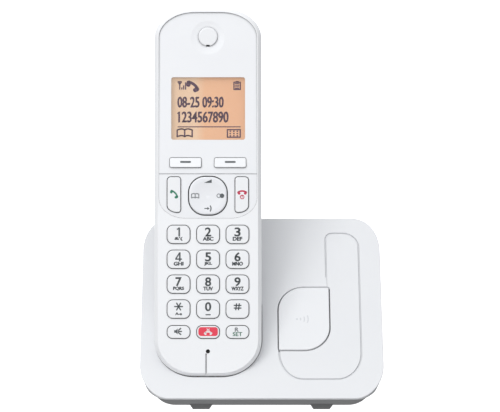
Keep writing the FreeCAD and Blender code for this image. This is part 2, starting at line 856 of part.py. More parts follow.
def base_top_case():
    block = base_block(0, parting_height)
    block = soften(block, base_edge_round, on_slope)
    shell = block.cut(base_block(base_wall, parting_height - 1))
    lower = slab(base_outline(rim_inset + floor_wall + 1), floor_level + floor_wall + fit_gap,
                 base_back_height)
    inside = block.fuse(lower.common(under_face(base_wall, 0)))
    seat = pocket(pocket_gap + seat_wall).common(inside)
    posts = Part.Compound(base_posts(base_posts_radii[0], base_post_meet, deep)).common(block)
    shell = shell.multiFuse([seat, posts])
    tall = 2 * base_back_height
    cuts = [pocket(pocket_gap), slab(locator_outline(locator_gap), 0, tall), j_groove()]
    cuts += base_posts(base_screw[0] + fit_gap / 2, 0, base_post_meet + screw_bite + over_travel)
    cuts += jack_windows()
    half, tall = grown(contact_half, contact_slot_gap)
    for x in (-charge_at, charge_at):
        cuts.append(place_handset(box(x - half, x + half, -2 * holder_top, 1, -charge_depth - tall,
                                      -charge_depth + tall)))
    return shell.cut(cuts)


def bottom_section(inset, z):
    """Outline of the bottom case at height z: full at the rim, pulled in towards the floor."""
    share = (parting_height - z) / (parting_height - floor_level)
    front, side, back = (rim + (undercut - rim) * share + inset for rim, undercut in
                         ((rim_inset, undercut_front), (rim_inset + side_lean, undercut_side),
                          (rim_inset, undercut_back)))
    w = base_width / 2 - side
    low, high = ((across - side_lean - rim_inset - inset, along - rim_inset - inset)
                 for across, along in (base_corner_front, base_corner_back))
    face = outline(-w, w, front, base_depth - back, low, low, high, high)
    face.translate(vec(0, 0, z))
    return face.OuterWire


def base_bottom_case():
    shell = Part.makeLoft([bottom_section(0, floor_level), bottom_section(0, parting_height)], True, True)
    inner_floor = floor_level + floor_wall
    hollow = Part.makeLoft([bottom_section(floor_wall, inner_floor),
                            bottom_section(floor_wall, parting_height + 1)], True, True)
    low = inner_floor - floor_wall / 4
    posts = base_posts(base_posts_radii[1], low, base_post_meet)
    x0, x1 = base_board_x
    y0, y1 = base_board_y
    inner = board_post + 1
    posts += [rod(x, y, low, base_board_level, board_post)
              for x in (x0 + inner, x1 - inner) for y in (y0 + inner, y1 - base_board_corner[1] - inner)]
    shell = shell.cut(hollow).multiFuse(posts)
    count, first, pitch, width, near, far = vents
    cuts = [box(first + pitch * i, first + pitch * i + width, near, far, 0, inner_floor + 1)
            for i in range(count)]
    cuts += base_posts(base_screw[0] + post_gap, 0, deep)
    cuts += base_posts(base_screw[1] + post_gap, 0, floor_level + screw_recess)
    cuts.append(pocket(pocket_gap + seat_wall + seat_gap))
    behind = base_depth - base_wall
    cuts += [box(x - size[0] / 2 - fit_gap, x + size[0] / 2 + fit_gap, behind - size[2] - 1, behind,
                 board_surface - fit_gap, deep)
             for x, size in ((line_jack_at, line_jack_size), (power_jack_at, power_jack_size))]
    return shell.cut(cuts)


def base_feet():
    near, far = front_foot_y
    rise = (parting_height - floor_level) / (undercut_front - rim_inset)
    top = floor_level + rise * (undercut_front - near)
    side = [(near, 0), (far, 0), (far, floor_level), (undercut_front, floor_level), (near, top)]
    narrow, wide = front_foot_half
    feet = []
    for x in front_foot_x:
        block = side_prism(side, x - wide, x + wide)
        loop = [vec(x - narrow, 0), vec(x + narrow, 0), vec(x + wide, 0, top), vec(x - wide, 0, top)]
        front = Part.Face(Part.makePolygon(loop + loop[:1]))
        feet.append(block.common(front.extrude(vec(0, base_depth, 0))))
    for x, y in rear_foot_at:
        foot = rod(x, y, 0, floor_level, rear_foot_radius)
        feet.append(soften(foot, floor_level / 4, lambda b: b.ZMax < 0.01))
    return Part.Compound(feet)


def base_screws():
    shank, head, thick = base_screw
    seat = floor_level + screw_recess
    screws = []
    for x, y in base_screws_at:
        cap = rod(x, y, seat - thick, seat, head)
        body = rod(x, y, seat, base_post_meet + screw_bite, shank)
        screws.append(cap.fuse(body).cut(cross_slot(x, y, 0, seat - thick / 2, head * 0.6, shank / 4)))
    return Part.Compound(screws)


# ---- inside the base ----

def base_board():
    small = (board_round, board_round)
    face = outline(*base_board_x, *base_board_y, small, small, base_board_corner, small)
    board = slab(face, base_board_level, board_surface)
    return board.cut(base_posts(base_posts_radii[1] + post_gap, 0, deep))


def base_shield_can():
    x0, x1, y0, y1, height = base_shield
    x1 = min(x1, base_board_x[1])
    return tin_can(x0, x1, y0, y1, board_surface, board_surface + height, sheet_metal)


def locator_centre():
    x0, x1, y0, y1 = locator_plan()
    return (x0 + x1) / 2, (y0 + y1) / 2


def locator_switch():
    x, y = locator_centre()
    half, height = switch_body
    radius, stroke = switch_button
    top = board_surface + height
    body = box(x - half, x + half, y - half, y + half, board_surface, top)
    return body.fuse(rod(x, y, top, top + stroke, radius))


def locator_key():
    """Skin of the sloping face on a flange and a plunger; it moves straight down."""
    tall = 2 * base_back_height
    skin = under_face(-locator_proud, 0).cut(under_face(locator_skin, -1))
    cap = soften_top(slab(locator_outline(0), 0, tall).common(skin), key_round)
    wide, thick = locator_flange
    under = base_wall + running
    flange = under_face(under, 0).cut(under_face(under + thick, -1))
    flange = slab(locator_outline(wide), 0, tall).common(flange)
    x, y = locator_centre()
    foot = board_surface + switch_body[1] + switch_button[1] + over_travel + locator_travel
    plunger = rod(x, y, foot, tall, plunger_radius).common(under_face(base_wall, 0))
    return cap.multiFuse([flange, plunger])


def socket_block(x, size):
    width, height, depth = size
    back = base_depth - base_wall - jack_wall_gap
    return box(x - width / 2, x + width / 2, back - depth, back, board_surface, board_surface + height)


def line_jack():
    width, height, depth = line_bore
    z = board_surface + line_bore_low
    x = line_jack_at
    back = base_depth - base_wall
    bore = box(x - width / 2, x + width / 2, back - depth, back + 1, z, z + height)
    catch = box(x - width / 6, x + width / 6, back - depth, back + 1, z - height / 6, z + 1)
    wires = [box(x + 1.27 * i - 0.25, x + 1.27 * i + 0.25, back - depth + 1, back - depth / 3,
                 z + height - 0.6, z + height + sheet_metal) for i in (-1.5, -0.5, 0.5, 1.5)]
    return socket_block(x, line_jack_size).cut([bore, catch]).multiFuse(wires)


def power_jack():
    radius, depth = power_bore
    pin_radius, pin_length = power_pin
    x = power_jack_at
    z = board_surface + power_jack_size[1] / 2
    back = base_depth - base_wall
    bore = rod_back(x, back - depth, back + 1, z, radius)
    pin = rod_back(x, back - depth - 1, back - depth - 1 + pin_length, z, pin_radius)
    return socket_block(x, power_jack_size).cut(bore).fuse(pin)


def base_antennas():
    """Two bent wires standing on the board."""
    right, back = base_board_x[1] - 2, base_board_y[1] - base_board_corner[1] - 2
    top = board_surface + antenna_height
    wires = []
    for x, y, turn in ((right, back, vec(0, -1, 0)), (right / 2, back, vec(1, 0, 0))):
        upright = rod(x, y, board_surface, top, antenna_wire)
        arm = Part.makeCylinder(antenna_wire, antenna_arm, vec(x, y, top), turn)
        wires.append(upright.multiFuse([arm, Part.makeSphere(antenna_wire, vec(x, y, top))]))
    return Part.Compound(wires)


def charge_contact(side):
    """Sprung pin whose round tip meets the plate in the handset."""
    x = side * charge_at
    half, tall = contact_half
    pin = box(x - half, x + half, -contact_tip - contact_length, -contact_tip, -charge_depth - tall,
              -charge_depth + tall)
    return place_handset(soften(pin, half / 2, lambda b: b.YMin > -contact_tip - 0.01))


def contact_holder():
    """Block under the pocket floor; each pin slides in a blind slot in it."""
    half, tall = holder_half
    block = box(-half, half, -holder_top - holder_height, -holder_top, -charge_depth - tall,
                -charge_depth + tall)
    wide, high = grown(contact_half, running)
    low = contact_tip + contact_length + 2 * over_travel + 0.5
    slots = [box(x - wide, x + wide, -low, 0, -charge_depth - high, -charge_depth + high)
             for x in (-charge_at, charge_at)]
    return place_handset(block.cut(slots))


# ---- write every piece ----

def handset_pieces():
    pieces = {
        "handset_front_case": front_case(),
        "handset_rear_case": rear_case(),
        "battery_cover": battery_cover(),
        "face_panel": face_panel(),
        "earpiece_cap": earpiece_cap(),
        "display_window": display_window(),
        "display_gasket": display_gasket(),
        "lcd_glass": under_window(lcd_margin, glass_depth, lcd_glass_thickness),
        "lcd_backlight": under_window(backlight_margin, backlight_depth, board_top - backlight_depth),
        "handset_board": handset_board(),
        "keypad_membrane": keypad_membrane(),
        "handset_shield": handset_shield(),
        "handset_antenna": handset_antenna(),
        "earpiece_receiver": earpiece_receiver(),
        "ringer_speaker": ringer_speaker(),
        "microphone_boot": microphone_boot(),
        "microphone": microphone(),
        "battery_cell_left": battery_cell(-1, False),
        "battery_cell_right": battery_cell(1, True),
        "battery_contacts": battery_contacts(),
        "handset_charge_contacts": charge_plates(),
        "handset_screws": handset_screws(),
        "nav_key": nav_key(),
        "nav_carrier": nav_carrier(),
    }
    for name, make, proud in pressed_keys():
        pieces[name] = key_solid(make, proud)
    return {name: place_handset(shape) for name, shape in pieces.items()}


def base_pieces():
    return {
        "base_top_case": base_top_case(),
        "base_bottom_case": base_bottom_case(),
        "base_feet": base_feet(),
        "base_screws": base_screws(),
        "base_board": base_board(),
        "base_shield": base_shield_can(),
        "base_antennas": base_antennas(),
        "locator_key": locator_key(),
        "locator_switch": locator_switch(),
        "line_jack": line_jack(),
        "power_jack": power_jack(),
        "charge_contact_left": charge_contact(-1),
        "charge_contact_right": charge_contact(1),
        "contact_holder": contact_holder(),
    }


pieces = {**base_pieces(), **handset_pieces()}
low_y = min(shape.BoundBox.YMin for shape in pieces.values())
high_y = max(shape.BoundBox.YMax for shape in pieces.values())
to_origin = vec(0, -(low_y + high_y) / 2, 0)      # origin under the middle of the whole phone
for name, shape in pieces.items():
    shape.translate(to_origin)
    shape.exportStep("parts/" + name + ".step")
print(len(pieces), "pieces, moved back by", round(to_origin.y, 4))
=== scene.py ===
import json
import math

import bmesh
import bpy
from mathutils import Matrix, Vector
from mathutils.bvhtree import BVHTree


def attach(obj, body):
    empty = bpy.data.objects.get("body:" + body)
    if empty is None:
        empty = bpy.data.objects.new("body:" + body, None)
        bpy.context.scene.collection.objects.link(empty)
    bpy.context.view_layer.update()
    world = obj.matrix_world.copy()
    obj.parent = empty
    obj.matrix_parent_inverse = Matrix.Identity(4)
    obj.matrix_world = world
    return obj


# Cordless phone on its charging base: finishes, printed marks, lights and camera.
# Marks are drawn in millimetres on flat sheets laid over the handset's face and the base's slope.

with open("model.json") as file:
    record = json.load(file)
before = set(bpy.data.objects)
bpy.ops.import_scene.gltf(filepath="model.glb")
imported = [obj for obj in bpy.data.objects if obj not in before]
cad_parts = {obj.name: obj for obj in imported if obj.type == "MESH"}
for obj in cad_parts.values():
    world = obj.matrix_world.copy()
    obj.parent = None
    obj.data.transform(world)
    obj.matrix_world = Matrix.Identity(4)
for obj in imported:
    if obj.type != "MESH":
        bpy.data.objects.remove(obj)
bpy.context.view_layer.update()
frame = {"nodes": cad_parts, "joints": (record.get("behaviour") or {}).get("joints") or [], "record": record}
nodes = frame["nodes"]
slideWay = {joint["name"]: Vector(joint["axis"]).normalized() for joint in frame["joints"]}
bodyOf = {node: body for body, members in frame["record"]["behaviour"]["bodies"].items()
          for node in members}


cameraView = {"target": (-0.00536, -0.0152, 0.08506), "rise": 35.0, "distance": 1.0,
              "lens": 160.75, "sensor": 36.0}


def aim(thing, at, target):
    thing.location = at
    thing.rotation_euler = (Vector(target) - Vector(at)).to_track_quat("-Z", "Y").to_euler()
    bpy.context.scene.collection.objects.link(thing)
    return thing


def makeCamera(view):
    data = bpy.data.cameras.new("camera")
    data.lens = view["lens"]
    data.sensor_width = view["sensor"]
    data.clip_start, data.clip_end = 0.01, 50
    rise = math.radians(view["rise"])
    target = Vector(view["target"])
    back = Vector((0, -math.cos(rise), math.sin(rise))) * view["distance"]
    bpy.context.scene.camera = aim(bpy.data.objects.new("camera", data), target + back, target)


makeCamera(cameraView)
print("camera set")


class Wire:
    # one socket, so that shader maths can be written as an expression
    def __init__(self, finish, socket):
        self.finish = finish
        self.socket = socket

    def maths(self, operation, first, second):
        return self.finish.add("Math", {"operation": operation}, {0: first, 1: second})

    def __add__(self, other):
        return self.maths("ADD", self, other)

    def __radd__(self, other):
        return self.maths("ADD", other, self)

    def __sub__(self, other):
        return self.maths("SUBTRACT", self, other)

    def __rsub__(self, other):
        return self.maths("SUBTRACT", other, self)

    def __mul__(self, other):
        return self.maths("MULTIPLY", self, other)

    def __rmul__(self, other):
        return self.maths("MULTIPLY", other, self)

    def __gt__(self, other):
        return self.maths("GREATER_THAN", self, other)

    def __lt__(self, other):
        return self.maths("LESS_THAN", self, other)


class Finish:
    # the nodes of one material, or of the world
    def __init__(self, owner, coordinates="Object"):
        self.owner = owner
        self.owner.use_nodes = True
        self.tree = self.owner.node_tree
        self.tree.nodes.clear()
        self.place = self.add("TexCoord", {}, {}, coordinates)

    def add(self, kind, settings, sockets, output=0):
        made = self.tree.nodes.new("ShaderNode" + kind)
        for name, value in settings.items():
            if name == "stops":
                self.setStops(made.color_ramp.elements, value)
            elif name == "steps":
                made.color_ramp.interpolation = value
            else:
                setattr(made, name, value)
        for name, value in sockets.items():
            self.feed(made.inputs[name], value)
        return Wire(self, made.outputs[output]) if made.outputs else made

    def setStops(self, ramp, stops):
        while len(ramp) < len(stops):
            ramp.new(0.5)
        for stop, (at, colour) in zip(ramp, stops):
            stop.position, stop.color = at, (*colour, 1)

    def feed(self, socket, value):
        if isinstance(value, Wire):
            self.tree.links.new(value.socket, socket)
        elif socket.type == "RGBA":
            socket.default_value = (*value, 1)
        else:
            socket.default_value = value

    def blend(self, low, high, share):
        # colours only: low where share is 0, high where it is 1
        return self.add("Mix", {"data_type": "RGBA"}, {0: share, 6: low, 7: high}, 2)

    def noise(self, size, detail=3.0, stretch=None):
        # size is in metres; stretch lengthens the grain along an axis
        place = self.place
        if stretch:
            place = self.add("VectorMath", {"operation": "MULTIPLY"}, {0: place, 1: stretch})
        return self.add("TexNoise", {}, {"Vector": place, "Scale": 1 / size, "Detail": detail})

    def along(self, way):
        return self.add("VectorMath", {"operation": "DOT_PRODUCT"}, {0: self.place, 1: way}, "Value")

    def bump(self, height, depth):
        return self.add("Bump", {}, {"Height": height, "Distance": depth, "Strength": 1.0})

    def show(self, shader, output="OutputMaterial"):
        self.add(output, {}, {"Surface": shader})
        return self.owner


def sway(pattern, amount):
    # a pattern from 0 to 1 as up to half the amount more or less
    return amount * (pattern - 0.5)


def wave(finish, value, pitch):
    # goes evenly from 0 to 1 and back once in each pitch
    return finish.add("Math", {"operation": "PINGPONG"}, {0: value, 1: pitch / 2}) * (2 / pitch)


# dark grey of the painted shade laid into seams, gaps and creases
seamShade = (0.22, 0.225, 0.235)


def moulded(name, style):
    # injection moulded plastic: a fine spark-eroded grain with faint clouding and uneven gloss, and
    # on the outer shells painted shade, the colour darkened in seams, gaps and creases by ambient occlusion
    finish = Finish(bpy.data.materials.new(name))
    cloud = finish.noise(style["cloud"], 2.0)
    grain = finish.noise(style["grain"], 2.0)
    colour = finish.blend(style["colour"], style["deeper"], cloud)
    if "seam" in style:
        # painted shade: the colour goes darker where nearby surfaces close in, in seams, gaps and creases
        unshaded = finish.add("AmbientOcclusion", {"samples": 12}, {"Distance": style["seam"]}, "AO")
        colour = finish.blend(seamShade, colour, unshaded)
    return finish.show(finish.add("BsdfPrincipled", {}, {
        "Base Color": colour,
        "Roughness": style["gloss"] + sway(cloud, 0.1) + sway(grain, 0.08),
        "Normal": finish.bump(grain, style["depth"]),
        "Coat Weight": style.get("coat", 0.0), "Coat Roughness": 0.12,
        "Subsurface Weight": style.get("glow", 0.0), "Subsurface Radius": (0.9, 0.95, 1.0),
        "Subsurface Scale": 0.0008}))


def plated(name, style):
    # metal with drawing lines along one axis and cloudy dull spots
    finish = Finish(bpy.data.materials.new(name))
    lines = finish.noise(style["line"], 2.0, style["stretch"])
    dull = finish.noise(style["cloud"], 3.0)
    return finish.show(finish.add("BsdfPrincipled", {}, {
        "Base Color": finish.blend(style["colour"], style["deeper"], dull), "Metallic": 1.0,
        "Roughness": style["gloss"] + sway(lines, 0.25) + sway(dull, 0.15),
        "Normal": finish.bump(lines, style["depth"])}))


def rubbery(name, style):
    # soft matt surface: pitted grain and a dusty bloom
    finish = Finish(bpy.data.materials.new(name))
    pits = finish.add("TexVoronoi", {}, {"Vector": finish.place, "Scale": 1 / style["grain"]},
                      "Distance")
    bloom = finish.noise(style["cloud"], 4.0)
    return finish.show(finish.add("BsdfPrincipled", {}, {
        "Base Color": finish.blend(style["colour"], style["deeper"], bloom),
        "Roughness": style["gloss"] + sway(bloom, 0.12),
        "Normal": finish.bump(pits, style["depth"]), "Sheen Weight": 0.15}))


def circuit(name, style):
    # solder mask over tracks, with tinned pads
    finish = Finish(bpy.data.materials.new(name))
    weave = finish.add("TexBrick", {"offset": 0.5}, {
        "Vector": finish.place, "Scale": 1 / style["track"], "Mortar Size": 0.12,
        "Color1": (0, 0, 0), "Color2": (0, 0, 0), "Mortar": (1, 1, 1)}, "Fac")
    patch = finish.noise(style["patch"], 1.0) > style["bare"]
    tracks = weave * patch
    dots = finish.add("TexVoronoi", {}, {"Vector": finish.place, "Scale": 1 / style["pad"]}, "Distance")
    pads = (dots < style["pad reach"]) * (1 - patch)
    mask = finish.blend(style["colour"], style["track colour"], tracks)
    return finish.show(finish.add("BsdfPrincipled", {}, {
        "Base Color": finish.blend(mask, style["pad colour"], pads), "Metallic": pads,
        "Roughness": style["gloss"] - 0.1 * pads + sway(finish.noise(style["cloud"]), 0.1),
        "Normal": finish.bump(tracks + pads, style["depth"])}))


def lit(name, style):
    # display glass over an amber backlight, paler where the lamp is, with a fine grid of cells
    finish = Finish(bpy.data.materials.new(name))
    low, high = faceSheet.reach("lcd_glass")
    across = finish.along(faceSheet.across) * 1000 - faceSheet.origin.dot(faceSheet.across) * 1000
    share = (across - low.x) * (1 / (high.x - low.x))
    amber = finish.add("ValToRGB", {"stops": style["stops"]}, {"Fac": share}, "Color")
    up = finish.along(faceSheet.along) * 1000
    gap = 1 - style["line"]
    grid = (wave(finish, across, style["cell"]) > gap) + (wave(finish, up, style["cell"]) > gap)
    glow = finish.blend(amber, style["line colour"], grid * style["line cover"])
    return finish.show(finish.add("BsdfPrincipled", {}, {
        "Base Color": finish.blend((0, 0, 0), glow, style["lit by day"]),
        "Emission Color": glow, "Emission Strength": style["lamp"],
        "Roughness": style["gloss"] + sway(finish.noise(style["cloud"]), 0.05)}))


def clear(name, style):
    # hard clear lens: see-through, with a gloss that grows at a shallow angle and faint smears
    finish = Finish(bpy.data.materials.new(name))
    smear = finish.noise(style["smear"], 4.0)
    rough = style["gloss"] + 0.06 * smear
    gloss = finish.add("BsdfGlossy", {}, {"Color": (1, 1, 1), "Roughness": rough})
    through = finish.add("BsdfTransparent", {}, {"Color": style["tint"]})
    shallow = finish.add("LayerWeight", {}, {"Blend": 0.5}, "Facing")       # the same from both sides
    rise = finish.add("Math", {"operation": "POWER"}, {0: shallow, 1: 5.0})
    share = style["straight"] + (1 - style["straight"]) * rise      # how much of it is gloss
    return finish.show(finish.add("MixShader", {}, {0: share, 1: through, 2: gloss}))


def sleeved(name, style):
    # shrink sleeve of a cell: two bands along its length and a pale line between them
    finish = Finish(bpy.data.materials.new(name))
    low, high = faceSheet.reach("battery_cell_left")
    up = finish.along(faceSheet.along) * 1000 - faceSheet.origin.dot(faceSheet.along) * 1000
    share = (up - low.y) * (1 / (high.y - low.y))
    bands = finish.add("ValToRGB", {"stops": style["stops"], "steps": "CONSTANT"}, {"Fac": share},
                       "Color")
    crinkle = finish.noise(style["crinkle"], 3.0)
    return finish.show(finish.add("BsdfPrincipled", {}, {
        "Base Color": bands, "Roughness": style["gloss"] + 0.15 * crinkle,
        "Normal": finish.bump(crinkle, style["depth"]), "Coat Weight": 0.3}))


def inked(name, style):
    # pad-printed ink: slightly uneven cover and gloss
    finish = Finish(bpy.data.materials.new(name))
    cover = finish.noise(0.0004, 3.0)
    return finish.show(finish.add("BsdfPrincipled", {}, {
        "Base Color": finish.blend(style["colour"], style["deeper"], cover),
        "Roughness": 0.42 + sway(cover, 0.2), "Normal": finish.bump(cover, 0.000006)}))


class Sheet:
    # flat sheet in millimetres: u across, v up it, w out of it
    def __init__(self, out):
        self.out = out.normalized()
        self.across = Vector((1, 0, 0))
        self.along = self.out.cross(self.across)
        self.origin = Vector((0, 0, 0))

    def flat(self, point):
        away = (point - self.origin) * 1000
        return Vector((away.dot(self.across), away.dot(self.along), away.dot(self.out)))

    def point(self, u, v, w):
        return self.origin + (self.across * u + self.along * v + self.out * w) / 1000

    def reach(self, *names):
        spots = [self.flat(vertex.co) for name in names for vertex in nodes[name].data.vertices]
        return (Vector([min(spot[i] for spot in spots) for i in range(3)]),
                Vector([max(spot[i] for spot in spots) for i in range(3)]))

    def middle(self, *names):
        low, high = self.reach(*names)
        return (low + high) / 2

    def start(self, u, v, w):
        self.origin = self.point(u, v, w)


def skinOf(name):
    mesh = nodes[name].data
    return BVHTree.FromPolygons([vertex.co for vertex in mesh.vertices],
                                [polygon.vertices for polygon in mesh.polygons])


def flatOut(name, way):
    # normal of the largest flat part of a node, among those that look roughly along way
    mesh = nodes[name].data
    sums = {}
    for polygon in mesh.polygons:
        if polygon.normal.dot(way) > 0.5:
            key = tuple(round(value, 2) for value in polygon.normal)
            sums[key] = sums.get(key, Vector()) + polygon.normal * polygon.area
    return max(sums.values(), key=lambda total: total.length)


faceSheet = Sheet(-slideWay["key_5_press"])
shellLow, shellHigh = faceSheet.reach("handset_front_case")
faceSheet.start((shellLow.x + shellHigh.x) / 2, shellLow.y, shellHigh.z)
slopeSheet = Sheet(flatOut("locator_key", Vector((0, 0, 1))))
print("sheets: face leans", round(math.degrees(math.acos(faceSheet.out.z)), 1),
      "slope leans", round(math.degrees(math.acos(slopeSheet.out.z)), 1))


finishStyles = {
    "base_shell": (moulded, {
        "colour": (0.735, 0.745, 0.765), "deeper": (0.71, 0.72, 0.74), "gloss": 0.42, "cloud": 0.03,
        "grain": 0.0004, "depth": 0.00001, "glow": 0.05, "seam": 0.0005}),
    "base_underside": (moulded, {
        "colour": (0.62, 0.625, 0.635), "deeper": (0.57, 0.575, 0.585), "gloss": 0.6, "cloud": 0.02,
        "grain": 0.0005, "depth": 0.00003}),
    "foot_rubber": (rubbery, {
        "colour": (0.20, 0.20, 0.205), "deeper": (0.24, 0.24, 0.245), "gloss": 0.8, "cloud": 0.006,
        "grain": 0.0004, "depth": 0.00004}),
    "screw_steel": (plated, {
        "colour": (0.62, 0.63, 0.65), "deeper": (0.48, 0.48, 0.50), "gloss": 0.35, "line": 0.0003,
        "stretch": (1, 1, 0.1), "cloud": 0.002, "depth": 0.00001}),
    "board": (circuit, {
        "colour": (0.02, 0.16, 0.06), "track colour": (0.05, 0.27, 0.10),
        "pad colour": (0.72, 0.72, 0.70), "track": 0.004, "patch": 0.009, "bare": 0.5, "pad": 0.0035,
        "pad reach": 0.16, "gloss": 0.38, "cloud": 0.004, "depth": 0.00003}),
    "shield_tin": (plated, {
        "colour": (0.72, 0.73, 0.74), "deeper": (0.60, 0.61, 0.62), "gloss": 0.3, "line": 0.0006,
        "stretch": (0.1, 1, 1), "cloud": 0.004, "depth": 0.00001}),
    "antenna_copper": (plated, {
        "colour": (0.80, 0.45, 0.28), "deeper": (0.62, 0.32, 0.20), "gloss": 0.32, "line": 0.0004,
        "stretch": (1, 1, 0.1), "cloud": 0.003, "depth": 0.00001}),
    "switch_body": (moulded, {
        "colour": (0.03, 0.03, 0.032), "deeper": (0.045, 0.045, 0.048), "gloss": 0.45, "cloud": 0.003,
        "grain": 0.0003, "depth": 0.00002}),
    "jack_body": (moulded, {
        "colour": (0.045, 0.045, 0.05), "deeper": (0.06, 0.06, 0.065), "gloss": 0.4, "cloud": 0.004,
        "grain": 0.0003, "depth": 0.00002}),
    "inner_plastic": (moulded, {
        "colour": (0.58, 0.59, 0.60), "deeper": (0.52, 0.53, 0.54), "gloss": 0.55, "cloud": 0.006,
        "grain": 0.0004, "depth": 0.00003}),
    "locator_key": (moulded, {
        "colour": (0.765, 0.775, 0.795), "deeper": (0.74, 0.75, 0.77), "gloss": 0.34, "cloud": 0.02,
        "grain": 0.0004, "depth": 0.000008, "glow": 0.05, "seam": 0.001}),
    "contact_gold": (plated, {
        "colour": (0.93, 0.72, 0.36), "deeper": (0.80, 0.58, 0.26), "gloss": 0.24, "line": 0.0003,
        "stretch": (1, 0.1, 1), "cloud": 0.002, "depth": 0.000008}),
    "handset_shell": (moulded, {
        "colour": (0.875, 0.885, 0.905), "deeper": (0.85, 0.86, 0.88), "gloss": 0.3, "cloud": 0.03,
        "grain": 0.0004, "depth": 0.000006, "coat": 0.15, "glow": 0.05, "seam": 0.001}),
    "handset_back": (moulded, {
        "colour": (0.80, 0.81, 0.83), "deeper": (0.76, 0.77, 0.79), "gloss": 0.5, "cloud": 0.03,
        "grain": 0.0006, "depth": 0.00003}),
    "face_panel": (moulded, {
        "colour": (0.85, 0.86, 0.885), "deeper": (0.82, 0.83, 0.855), "gloss": 0.38, "cloud": 0.025,
        "grain": 0.0004, "depth": 0.000006, "glow": 0.05, "seam": 0.001}),
    "earpiece_cap": (moulded, {
        "colour": (0.83, 0.84, 0.86), "deeper": (0.80, 0.81, 0.83), "gloss": 0.3, "cloud": 0.004,
        "grain": 0.0004, "depth": 0.000005, "coat": 0.2}),
    "window": (clear, {"tint": (0.97, 0.97, 0.96), "smear": 0.006, "gloss": 0.03, "straight": 0.04}),
    "gasket": (rubbery, {
        "colour": (0.04, 0.04, 0.042), "deeper": (0.06, 0.06, 0.062), "gloss": 0.9, "cloud": 0.002,
        "grain": 0.0003, "depth": 0.00006}),
    "display": (lit, {
        "stops": ((0.0, (0.76, 0.53, 0.37)), (0.34, (0.79, 0.55, 0.38)), (0.46, (0.79, 0.45, 0.27)),
                  (1.0, (0.78, 0.43, 0.26))),
        "line colour": (0.45, 0.22, 0.14), "cell": 0.35, "line": 0.1, "line cover": 0.12, "lamp": 0.54,
        "lit by day": 0.62, "gloss": 0.4, "cloud": 0.003}),
    "membrane": (rubbery, {
        "colour": (0.26, 0.27, 0.28), "deeper": (0.22, 0.23, 0.24), "gloss": 0.6, "cloud": 0.01,
        "grain": 0.0006, "depth": 0.00002}),
    "speaker_metal": (plated, {
        "colour": (0.07, 0.07, 0.075), "deeper": (0.05, 0.05, 0.055), "gloss": 0.45, "line": 0.0004,
        "stretch": (1, 1, 1), "cloud": 0.003, "depth": 0.00002}),
    "cell_wrap": (sleeved, {
        "stops": ((0.0, (0.10, 0.36, 0.20)), (0.62, (0.80, 0.80, 0.78)), (0.66, (0.16, 0.17, 0.18))),
        "crinkle": 0.0012, "gloss": 0.3, "depth": 0.00003}),
    "contact_spring": (plated, {
        "colour": (0.74, 0.74, 0.73), "deeper": (0.60, 0.60, 0.60), "gloss": 0.28, "line": 0.0003,
        "stretch": (1, 0.1, 1), "cloud": 0.003, "depth": 0.00001}),
    "key_plastic": (moulded, {
        "colour": (0.85, 0.86, 0.88), "deeper": (0.83, 0.84, 0.86), "gloss": 0.34, "cloud": 0.006,
        "grain": 0.0003, "depth": 0.000005, "glow": 0.05, "seam": 0.001}),
    "nav_key": (moulded, {
        "colour": (0.82, 0.83, 0.86), "deeper": (0.79, 0.80, 0.83), "gloss": 0.3, "cloud": 0.006,
        "grain": 0.0003, "depth": 0.000005, "glow": 0.05, "seam": 0.001}),
}


def dressNodes(styles):
    made = {}
    for name, node in sorted(nodes.items()):
        slot = node.data.materials[0].name.split(".")[0]
        if slot not in made:
            recipe, style = styles[slot]
            made[slot] = recipe(slot + "_finish", style)
        node.data.materials.clear()
        node.data.materials.append(made[slot])
    return made


finishes = dressNodes(finishStyles)
print("finishes:", len(finishes))


def ray(turn):
    # unit vector at an angle in radians, turning left
    return Vector((math.cos(turn), math.sin(turn)))


def bar(start, end, width, rounded=False):
    a, b = Vector(start), Vector(end)
    run = (b - a).normalized() * width / 2
    side = Vector((-run.y, run.x))
    corners = [a + side, a - side, b - side, b + side]
    if not rounded:
        return [corners]
    turn = math.atan2(run.y, run.x)
    ends = []
    for centre, first in ((b, turn - math.pi / 2), (a, turn + math.pi / 2)):
        ends += [centre + ray(first + math.pi * i / 8) * width / 2 for i in range(9)]
    return [ends]


def strokes(lines, width, rounded=False):
    return [shape for start, end in lines for shape in bar(start, end, width, rounded)]


def level(reach, up, width):
    # level bar with round ends, as far to the left as to the right
    return bar((-reach, up), (reach, up), width, True)


def disc(at, radius):
    return [[Vector(at) + ray(math.pi * i / 12) * radius for i in range(24)]]


def arc(at, radius, width, start, end, pieces=14):
    # start and end in degrees, turning left
    rays = [ray(math.radians(start + (end - start) * i / pieces)) for i in range(pieces + 1)]
    near, far = radius - width / 2, radius + width / 2
    return [[Vector(at) + a * near, Vector(at) + a * far, Vector(at) + b * far, Vector(at) + b * near]
            for a, b in zip(rays, rays[1:])]


def tile(centre, width, height, radius):
    # rectangle with round corners
    corners = []
    for sx, sy, first in ((1, 1, 0), (-1, 1, 90), (-1, -1, 180), (1, -1, 270)):
        middle = Vector(centre) + Vector((sx * (width / 2 - radius), sy * (height / 2 - radius)))
        corners += [middle + ray(math.radians(first + 15 * i)) * radius for i in range(7)]
    return [corners]


def frameOf(centre, width, height, line):
    # four bars round a rectangle
    x, y = centre
    w, h = width / 2, height / 2
    corners = [(x - w, y - h), (x + w, y - h), (x + w, y + h), (x - w, y + h)]
    return strokes(zip(corners, corners[1:] + corners[:1]), line, True)


def moved(shapes, u, v, turn=0.0):
    spin = Matrix.Rotation(math.radians(turn), 2)
    return [[spin @ Vector(point) + Vector((u, v)) for point in shape] for shape in shapes]


